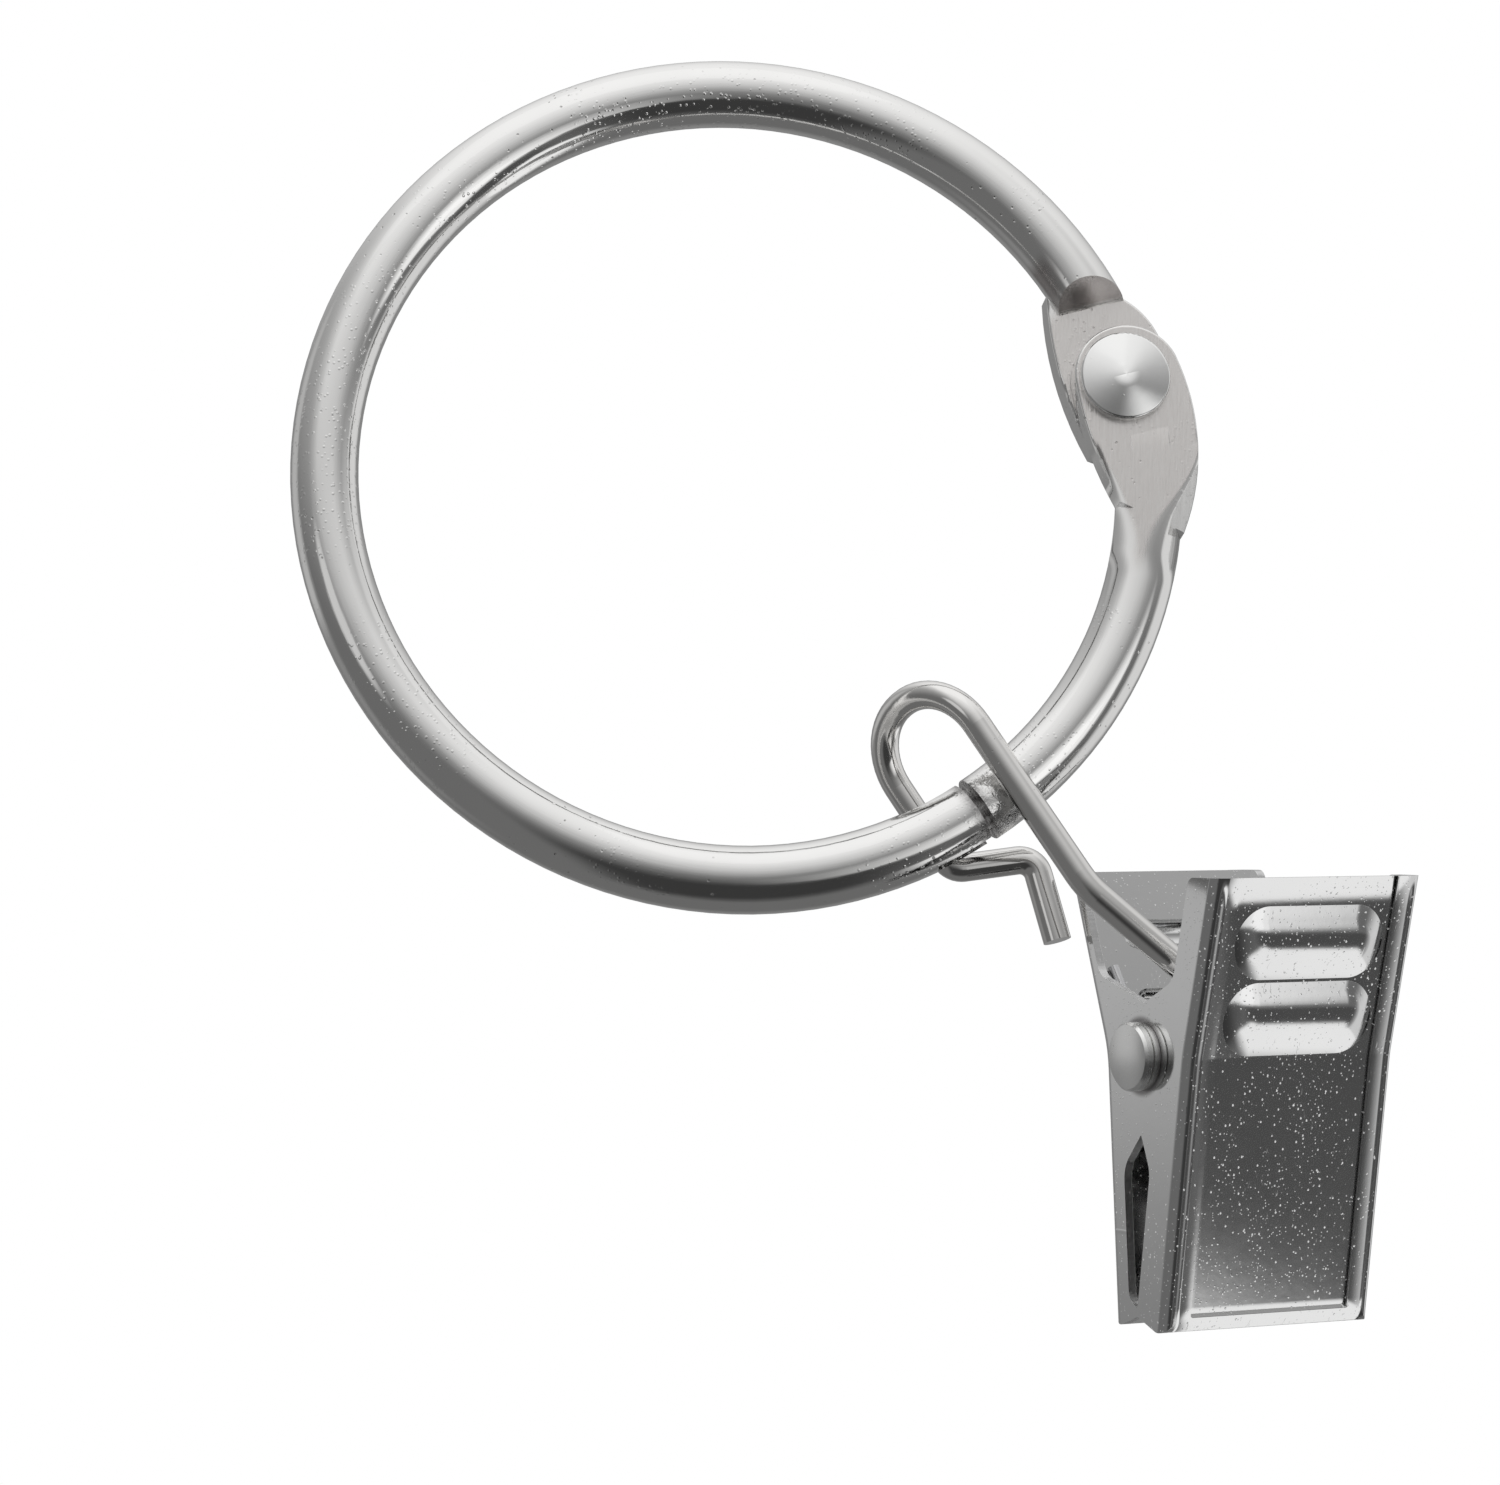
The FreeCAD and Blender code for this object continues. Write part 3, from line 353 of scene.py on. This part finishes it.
# %% [markdown]
# Lamps alone would put only small bright shapes on the metal, so the white room does most of the work.
# Two soft boxes stand inside the card: a wide one above, and a narrow one low on the right,
# on the side that the gate's bright line reflects. They add a little to the white behind them.

# %% Lamps
def soft_box(name, direction, distance, width, length, radiance):
    """A soft rectangular lamp that faces the object, with its power worked out from its radiance."""
    lamp = bpy.data.lights.new(name, "AREA")
    lamp.shape = "RECTANGLE"
    lamp.size = width
    lamp.size_y = length
    lamp.energy = math.pi * width * length * radiance
    made = bpy.data.objects.new(name, lamp)
    made.location = distance * direction
    made.rotation_mode = "QUATERNION"
    made.rotation_quaternion = Vector(-direction).to_track_quat("-Z", "Y")
    bpy.context.scene.collection.objects.link(made)
    return made


LAMP_DISTANCE = 0.26
overhead = from_camera(turn=math.radians(96), slant=math.radians(80))
low_side = from_camera(turn=math.radians(348), slant=math.radians(52))
soft_box("overhead_box", overhead, LAMP_DISTANCE, width=0.24, length=0.20, radiance=0.06)
soft_box("right_box", low_side, LAMP_DISTANCE, width=0.06, length=0.08, radiance=0.12)
print("lamps ready")

# %% [markdown]
# Pressing the gate's end flat for the hinge left that flat running smoothly out into the round bar.
# The neck could be modelled again as a mesh. Turning the surface's normal was chosen instead,
# because it keeps the solid's own mesh and still lets light fall on the neck as on one form.

# %% Flat on the gate's neck
HINGE_X, _, HINGE_Z = joints["gate_hinge"]["pos_m"]
HINGE_TURN = math.atan2(HINGE_Z, HINGE_X)
BEND_RADIUS = 20.7 * MM
BAR_RADIUS = 1.7 * MM
GATE_CENTRE = (0.29 * MM, 0.20 * MM)
FRONT_SIDE = (0.2 * MM, -0.2 * MM)
# Ramps along the gate: start and end in mm below the rivet, then the value at each.
# The first three give bar radii, and the last two a share.
NECK_DRIFT = (4.0, 8.5, 0.0, -0.24)
NECK_FLAT = (3.5, 9.6, 1.45, 0.0)
NECK_EDGE = (3.0, 8.0, 1.62, 1.0)
NECK_START = (3.0, 4.4, 0.0, 1.0)
NECK_END = (9.4, 11.0, 1.0, 0.0)
NARROWEST_TURN = 0.08
STEEPEST_LEAN = 0.97
FLAT_RIM = (0.02, 0.3, 1.0, 0.0)


def gate_flat(coat, x, y, z):
    """Zone, mask and normal of the flat that tapers from the gate's paddle into its bar.

    Across the bar, the normal faces the viewer on the flat and turns evenly to the side beyond it.
    """
    x = x - GATE_CENTRE[0]
    z = z - GATE_CENTRE[1]
    radius = coat.length(x, z)
    below = (HINGE_TURN - z.math("ARCTAN2", x)) * (BEND_RADIUS / MM)
    place = (radius - BEND_RADIUS) / BAR_RADIUS
    offset = place - below.ramp(*NECK_DRIFT)
    flat = below.ramp(*NECK_FLAT)
    edge = below.ramp(*NECK_EDGE)
    beyond = (abs(offset) - flat).larger(0.0) / (edge - flat).larger(NARROWEST_TURN)
    lean = beyond.math("MINIMUM", STEEPEST_LEAN) * offset.math("SIGN")
    upright = (1.0 - lean * lean).math("SQRT")
    normal = coat.facing(coat.join(x / radius * lean, 0.0 - upright, z / radius * lean))
    zone = below.ramp(*NECK_START) * below.ramp(*NECK_END) * y.ramp(*FRONT_SIDE)
    return zone, zone * beyond.ramp(*FLAT_RIM), normal


print("rivet stands", round(math.degrees(HINGE_TURN), 1), "degrees up the ring")

# %% [markdown]
# The ring is plated steel bar, polished but not perfect. Fine lines from drawing and polishing
# run along it, and small raised grains in the plating catch the light in the dark bands,
# mostly at the upper left and beside the latch.
# A flat picture could be wrapped on it, but a pattern laid out by angle round the ring
# needs no unwrapping, and its lines follow the bar.
# The flattened ends at the hinge were pressed, so they are duller, warmer and scratched lengthwise.
# The wall of the sloping step above them that faces down the ring gets painted shade, mottled by those scratches.

# %% Ring finish
# Places round the ring, each with its turn and its reach in radians.
LATCH_TURN = math.radians(-55.2)
SEAM = (LATCH_TURN, 0.040)
TORN = (LATCH_TURN + 0.03, 0.085)
UPPER_WEAR = (math.radians(112), 0.55)
LATCH_WEAR = (math.radians(-72), 0.35)
# Ramps by distance from the rivet: start and end, then the value at each.
PADDLE_RIM = (4.6 * MM, 5.4 * MM, 1.0, 0.0)
STEP_RIM = (7.0 * MM, 8.0 * MM, 1.0, 0.0)
BAR_DULL = (0.80, 0.795, 0.785, 1)
BAR_BRIGHT = (0.86, 0.855, 0.845, 1)
PIT_GREY = (0.40, 0.39, 0.38, 1)
PRESSED_GREY = (0.74, 0.71, 0.69, 1)
SEAM_DARK = (0.16, 0.15, 0.15, 1)
# Painted shade for the step's wall that faces down the ring.
STEP_SHADE_GREY = (0.40, 0.37, 0.36, 1)


def ring_finish():
    material, coat = new_finish("polished_bar")
    point = coat.coordinates()
    x, y, z = coat.split(point)
    turn = z.math("ARCTAN2", x)
    radius = coat.length(x, z)
    lines = coat.noise(coat.join(turn * 0.0012, radius, y), 5200.0, 2.0)
    wander = coat.noise(point, 260.0, 4.0)
    worn = turn.near(*UPPER_WEAR).larger(turn.near(*LATCH_WEAR))
    patches = coat.noise(point, 120.0, 2.0).ramp(0.42, 0.62) * (0.35 + worn * 0.65)
    grains = coat.specks(point, 3400.0, 0.30) * patches
    pits = coat.specks(point, 1900.0, 0.16) * coat.noise(point, 180.0).ramp(0.5, 0.62)
    normal = coat.coordinates("Normal")
    facing = coat.split(normal)[1]
    away = coat.length(x - HINGE_X, z - HINGE_Z)
    downhill = (math.sin(HINGE_TURN), 0.0, -math.cos(HINGE_TURN))
    # Painted shade: the step's wall in front of the rivet is picked by which way it faces, down the ring.
    step = coat.along(normal, downhill).ramp(0.12, 0.3) * away.ramp(*STEP_RIM)
    step = step * (turn - HINGE_TURN).ramp(0.08, 0.14) * y.ramp(0.0, -0.3 * MM)
    neck, neck_flat, neck_normal = gate_flat(coat, x, y, z)
    pressed = (facing * facing).ramp(0.80, 0.98) * away.ramp(*PADDLE_RIM)
    pressed = pressed.larger(neck_flat)
    scratches = coat.noise(coat.join(x * 7.0, y, z * 0.6), 1700.0, 3.0)
    ragged = coat.noise(point, 1500.0, 4.0, 0.7)
    torn = turn.near(*TORN) * (1.0 - pressed)
    seam = (turn + (ragged - 0.5) * 0.05).near(*SEAM) * (1.0 - pressed)
    rough = 0.05 + lines * 0.06 + wander * 0.03 + grains * 0.12 + pits * 0.2
    rough = rough + pressed * (0.14 + scratches * 0.22) + seam * 0.25 + step * 0.15
    colour = coat.blend(wander, BAR_DULL, BAR_BRIGHT)
    colour = coat.blend(pits * 0.6, colour, PIT_GREY)
    colour = coat.blend(pressed * (0.5 + scratches * 0.5), colour, PRESSED_GREY)
    colour = coat.blend(seam * ragged.ramp(0.35, 0.6, 1.0, 0.3), colour, SEAM_DARK)
    # The painted shade on the step, mottled by the scratches.
    colour = coat.blend(step * (0.7 + scratches * 0.3), colour, STEP_SHADE_GREY)
    solid = coat.node("NewGeometry", output="Normal")
    smooth = coat.swing(neck, solid, neck_normal)
    smooth = coat.bump(lines * 0.35 + wander * 0.3, 0.10, 0.08 * MM, smooth)
    worked = coat.bump(pressed * scratches + torn * ragged * 4.0, 0.22, 0.08 * MM, smooth)
    coat.metal(colour, rough, coat.bump(grains - pits, 0.55, 0.05 * MM, worked))
    return material


bar = ring_finish()
print("ring finish:", bar.name)

# %% [markdown]
# The clip is stamped from thin plated sheet. A press drew the front panel, its ribs and its rim
# from one sheet, so they flow into each other.
# The solid has these forms with tighter edges, and its ribs sit a little higher.
# The finish shades the panel as one plane with a soft relief, which again keeps the solid's own mesh.
# The clip's own directions come from its joint and its grip.

# %% Pressed forms of the front panel
PIVOT = np.array(joints["clip_swivel"]["pos_m"])
PIN = np.array(joints["clip_swivel"]["axis"])
CLIP_UP = -np.array(mounts["fabric_grip"]["axis"])
OUTWARD = np.cross(PIN, CLIP_UP)
PANEL_SLOPE = math.tan(math.radians(14.5))
HANDLE_SLOPE = math.tan(math.radians(16.6))
PANEL_RIM = (5.4 * MM, 5.9 * MM, 1.0, 0.0)
# Heights and widths of the pressed forms in mm, and how fast each one falls or rises.
BEND_REACH = 0.1
RIB_HEIGHTS = (5.65, 1.9)
RIB_REACH = 1.8
RIB_HALF_LENGTH = 2.6
RIB_FALL = 0.11
SIDE_START = 4.4
SIDE_FALL = 0.09
FOOT_START = -12.2
FOOT_FALL = 0.10
TOP_START = 7.2
TOP_RISE = 0.07


def panel_plane(coat, normal, across, height):
    """Mask and normal of the front panel as one smooth sheet with a single bend at the pin's height."""
    slope = (height / MM).ramp(-BEND_REACH, BEND_REACH, PANEL_SLOPE, HANDLE_SLOPE)
    drop = coat.node("VectorMath", {"operation": "SCALE"}, {0: tuple(CLIP_UP), "Scale": slope})
    plane = coat.node("VectorMath", {"operation": "SUBTRACT"}, {0: tuple(OUTWARD), 1: drop})
    plane = coat.node("VectorMath", {"operation": "NORMALIZE"}, {0: plane})
    mask = coat.along(normal, OUTWARD).ramp(0.15, 0.35) * abs(across).ramp(*PANEL_RIM)
    return mask, coat.facing(plane)


def drawn_relief(across, height):
    """Height in mm of what the draw left on the panel.

    Each rib falls with the square of the distance from its middle line, and ends at its reach.
    The sides and the foot fall, and the top edge rises, with the square of the distance past their start.
    """
    across = abs(across) / MM
    height = height / MM
    past_end = (across - RIB_HALF_LENGTH).larger(0.0)
    side = (across - SIDE_START).larger(0.0)
    foot = (FOOT_START - height).larger(0.0)
    top = (height - TOP_START).larger(0.0)
    relief = top * top * TOP_RISE - side * side * SIDE_FALL - foot * foot * FOOT_FALL
    for centre in RIB_HEIGHTS:
        from_middle = height - centre
        spread = past_end * past_end + from_middle * from_middle
        relief = relief + (RIB_REACH ** 2 - spread).larger(0.0) * RIB_FALL
    return relief


print("panel faces the camera by", round(float(OUTWARD @ back), 3))

# %% [markdown]
# The plated sheet is bright, with a faint orange-peel surface,
# and it carries specks of dust and plating grains that show as light dots on the dark panel.
# Its sheared edges are plain: greyer, rough, and ribbed across the thickness by the die.
# Their faces could be picked by hand. Here they are found by place and by which way they face,
# so one recipe serves both jaws. A dark ring of painted shade lies round the head of the pin, where it sits on the
# sheet.

# %% Sheet finish
SHEET = 0.45 * MM
FRONT_HALF_WIDTH = 6.2 * MM
BACK_HALF_WIDTH = 5.67 * MM
# Size of the ring of painted shade round the pin's head.
PIN_SHADE_RADIUS = 1.75 * MM
PIN_SHADE_REACH = 0.35 * MM
SHEET_DULL = (0.74, 0.74, 0.74, 1)
SHEET_BRIGHT = (0.80, 0.80, 0.795, 1)
DUST_PALE = (0.9, 0.9, 0.9, 1)
CUT_GREY = (0.55, 0.55, 0.55, 1)
# Grey of the painted shade round the pin's head.
PIN_SHADE_DARK = (0.20, 0.19, 0.19, 1)


def from_pin(coat, place):
    """Distance from the clip's pin of a place that is measured from the pin's middle."""
    turned = coat.node("VectorMath", {"operation": "CROSS_PRODUCT"}, {0: place, 1: tuple(PIN)})
    return coat.node("VectorMath", {"operation": "LENGTH"}, {0: turned}, output="Value")


def sheet_finish(name, half_width, drawn_panel):
    material, coat = new_finish(name)
    point = coat.coordinates()
    normal = coat.coordinates("Normal")
    place = coat.node("VectorMath", {"operation": "SUBTRACT"}, {0: point, 1: tuple(PIVOT)})
    across = coat.along(place, PIN)
    height = coat.along(place, CLIP_UP)
    sideways = abs(coat.along(normal, PIN))
    wall = abs(across).ramp(half_width - SHEET, half_width - 0.9 * SHEET)
    cut = wall * sideways.ramp(0.25, 0.40, 1.0, 0.0)
    cut = cut.larger(coat.along(normal, CLIP_UP).ramp(0.80, 0.92) * height.ramp(0.0, 4.0 * MM))
    ribbing = coat.noise(coat.join(height * 9.0, across * 0.5, 0.0), 900.0, 2.0)
    wander = coat.noise(point, 150.0, 3.0)
    peel = coat.noise(point, 1500.0, 2.0)
    dusty = coat.noise(point, 260.0, 3.0).ramp(0.34, 0.56)
    dust = coat.specks(point, 2600.0, 0.17) * dusty
    fine_dust = coat.specks(point, 4600.0, 0.19) * coat.noise(point, 330.0).ramp(0.38, 0.56)
    hairs = coat.noise(coat.join(across * 7.0, height * 0.9, across + height), 800.0, 2.0).ramp(0.70, 0.76)
    # Painted shade: a dark, slightly rougher ring on the flat of the sheet round the pin's head.
    pin_shade = from_pin(coat, place).near(PIN_SHADE_RADIUS, PIN_SHADE_REACH) * sideways.ramp(0.8, 0.95)
    rough = 0.06 + wander * 0.04 + peel * 0.03 + fine_dust * 0.2 + cut * 0.22 + pin_shade * 0.2
    colour = coat.blend(wander, SHEET_DULL, SHEET_BRIGHT)
    colour = coat.blend(dust.larger(fine_dust), colour, DUST_PALE)
    colour = coat.blend(cut * ribbing, colour, CUT_GREY)
    colour = coat.blend(pin_shade * 0.8, colour, PIN_SHADE_DARK)
    relief = coat.node("NewGeometry", output="Normal")
    if drawn_panel:
        mask, plane = panel_plane(coat, normal, across, height)
        relief = coat.swing(mask, relief, plane)
        relief = coat.bump(drawn_relief(across, height) * mask, 1.0, MM, relief)
    relief = coat.bump(wander * 0.5 + peel * 0.15, 0.10, 0.08 * MM, relief)
    relief = coat.bump(dust + fine_dust * 0.6 + hairs * 0.3 + cut * ribbing, 0.25, 0.05 * MM, relief)
    coat.metal(colour, rough, relief, 1.0 - (dust * 0.8).larger(fine_dust * 0.5))
    return material


front_sheet = sheet_finish("front_sheet", FRONT_HALF_WIDTH, True)
back_sheet = sheet_finish("back_sheet", BACK_HALF_WIDTH, False)
print("sheet finishes:", front_sheet.name, back_sheet.name)

# %% [markdown]
# The hanger is hard-drawn wire, plated after bending to about the ring's polish,
# with soft wavy bands where the die dragged and a few pits.
# The spring is bare steel wire, darker and rougher. Each could have a material of its own making,
# but both are drawn wire, so one recipe takes a tint and a roughness.

# %% Wire and spring finishes
WIRE_TINT = (0.84, 0.83, 0.815)
WIRE_ROUGHNESS = 0.05
SPRING_TINT = (0.60, 0.60, 0.61)
SPRING_ROUGHNESS = 0.18
DULLING = 0.92
WIRE_PIT_GREY = (0.4, 0.4, 0.4, 1)


def wire_finish(name, tint, base):
    material, coat = new_finish(name)
    point = coat.coordinates()
    wander = coat.noise(point, 400.0, 3.0)
    grain = coat.noise(point, 3200.0, 2.0)
    pits = coat.specks(point, 3000.0, 0.18) * coat.noise(point, 200.0).ramp(0.5, 0.65)
    colour = coat.blend(wander, tuple(part * DULLING for part in tint) + (1,), tint + (1,))
    colour = coat.blend(pits * 0.5, colour, WIRE_PIT_GREY)
    rough = base + wander * 0.04 + grain * 0.03 + pits * 0.2
    coat.metal(colour, rough, coat.bump(wander * 0.5 + grain * 0.2 - pits * 0.7, 0.10, 0.06 * MM))
    return material


wire = wire_finish("drawn_wire", WIRE_TINT, WIRE_ROUGHNESS)
spring = wire_finish("spring_wire", SPRING_TINT, SPRING_ROUGHNESS)
print("wire finishes:", wire.name, spring.name)

# %% [markdown]
# The pin and the washer are turned, so they are more satin than the wire,
# with faint rings round the middle and a few scuffs. The pin's head is flat in the solid.
# A bump that falls with the square of the distance from the pin gives it a slight crown with no new mesh.

# %% Pin finish
PIN_CROWN = 0.06
PIN_DULL = (0.84, 0.84, 0.83, 1)
PIN_BRIGHT = (0.90, 0.90, 0.89, 1)


def pin_finish():
    material, coat = new_finish("turned_pin")
    point = coat.coordinates()
    place = coat.node("VectorMath", {"operation": "SUBTRACT"}, {0: point, 1: tuple(PIVOT)})
    away = from_pin(coat, place) / MM
    wander = coat.noise(point, 600.0, 3.0)
    rings = coat.noise(coat.join(away * 3.0, 0.0, 0.0), 6.0, 2.0)
    scuffs = coat.specks(point, 2600.0, 0.16) * coat.noise(point, 500.0).ramp(0.48, 0.6)
    colour = coat.blend(wander, PIN_DULL, PIN_BRIGHT)
    rough = 0.16 + wander * 0.08 + rings * 0.05 + scuffs * 0.2
    crown = coat.bump(away * away * -PIN_CROWN, 1.0, MM)
    coat.metal(colour, rough, coat.bump(wander * 0.4 + rings * 0.2 + scuffs * 0.5, 0.2, 0.06 * MM, crown))
    return material


pin = pin_finish()
print("pin finish:", pin.name)

# %% [markdown]
# The hinge rivet's head was upset by a shallow conical punch, which left a small mark at its middle.
# The solid has a low domed head. The finish adds the even fall of the cone and the mark
# as bumps by distance from the rivet's middle, with no new mesh, and the scuffs of use.

# %% Rivet finish
CONE_FALL = 0.2
PUNCH_MARK_RADIUS = 0.55 * MM
RIVET_DULL = (0.82, 0.82, 0.815, 1)
RIVET_BRIGHT = (0.87, 0.87, 0.86, 1)


def rivet_finish():
    material, coat = new_finish("bright_rivet")
    point = coat.coordinates()
    x, _, z = coat.split(point)
    away = coat.length(x - HINGE_X, z - HINGE_Z)
    mark = away.ramp(0.0, PUNCH_MARK_RADIUS, 1.0, 0.0)
    wander = coat.noise(point, 420.0, 3.0)
    scuffs = coat.specks(point, 2600.0, 0.14) * coat.noise(point, 500.0).ramp(0.5, 0.6)
    colour = coat.blend(wander, RIVET_DULL, RIVET_BRIGHT)
    rough = 0.13 + wander * 0.06 + scuffs * 0.2
    shape = coat.bump(away / MM * -CONE_FALL, 1.0, MM)
    detail = coat.bump(mark * -0.6 + wander * 0.35 + scuffs * 0.4, 0.35, 0.08 * MM, shape)
    coat.metal(colour, rough, detail)
    return material


rivet = rivet_finish()
print("rivet finish:", rivet.name)

# %% [markdown]
# Each solid is one piece of metal, so it takes one finish over its whole surface.
# The two lengths of the ring share theirs, because they were cut from the same bar.

# %% Put the finishes on the solids
FINISHES = {
    "ring_arc": bar, "ring_gate": bar, "hinge_rivet": rivet, "wire_loop": wire, "front_jaw": front_sheet,
    "back_jaw": back_sheet, "clip_pin": pin, "pin_washer": pin, "clip_spring": spring,
}
for name, material in FINISHES.items():
    nodes[name].data.materials.clear()
    nodes[name].data.materials.append(material)
print("finishes:", len(FINISHES))

# %% [markdown]
# The spring winds up as the jaws open: its back leg stays on the back jaw,
# and its front leg follows the front one. Left rigid on one jaw, it would cut into the other.
# A copy with the solid's own mesh stands for it, in place of the hidden solid.

wound = bpy.data.objects.new("wound_spring", nodes["clip_spring"].data.copy())
bpy.context.scene.collection.objects.link(wound)
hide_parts("clip_spring")
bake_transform(wound)
print("spring winds between the jaws:", len(wound.data.vertices), "points")

# %% [markdown]
# The plain Standard view keeps the white background white.

# %% View transform
bpy.context.scene.view_settings.view_transform = "Standard"
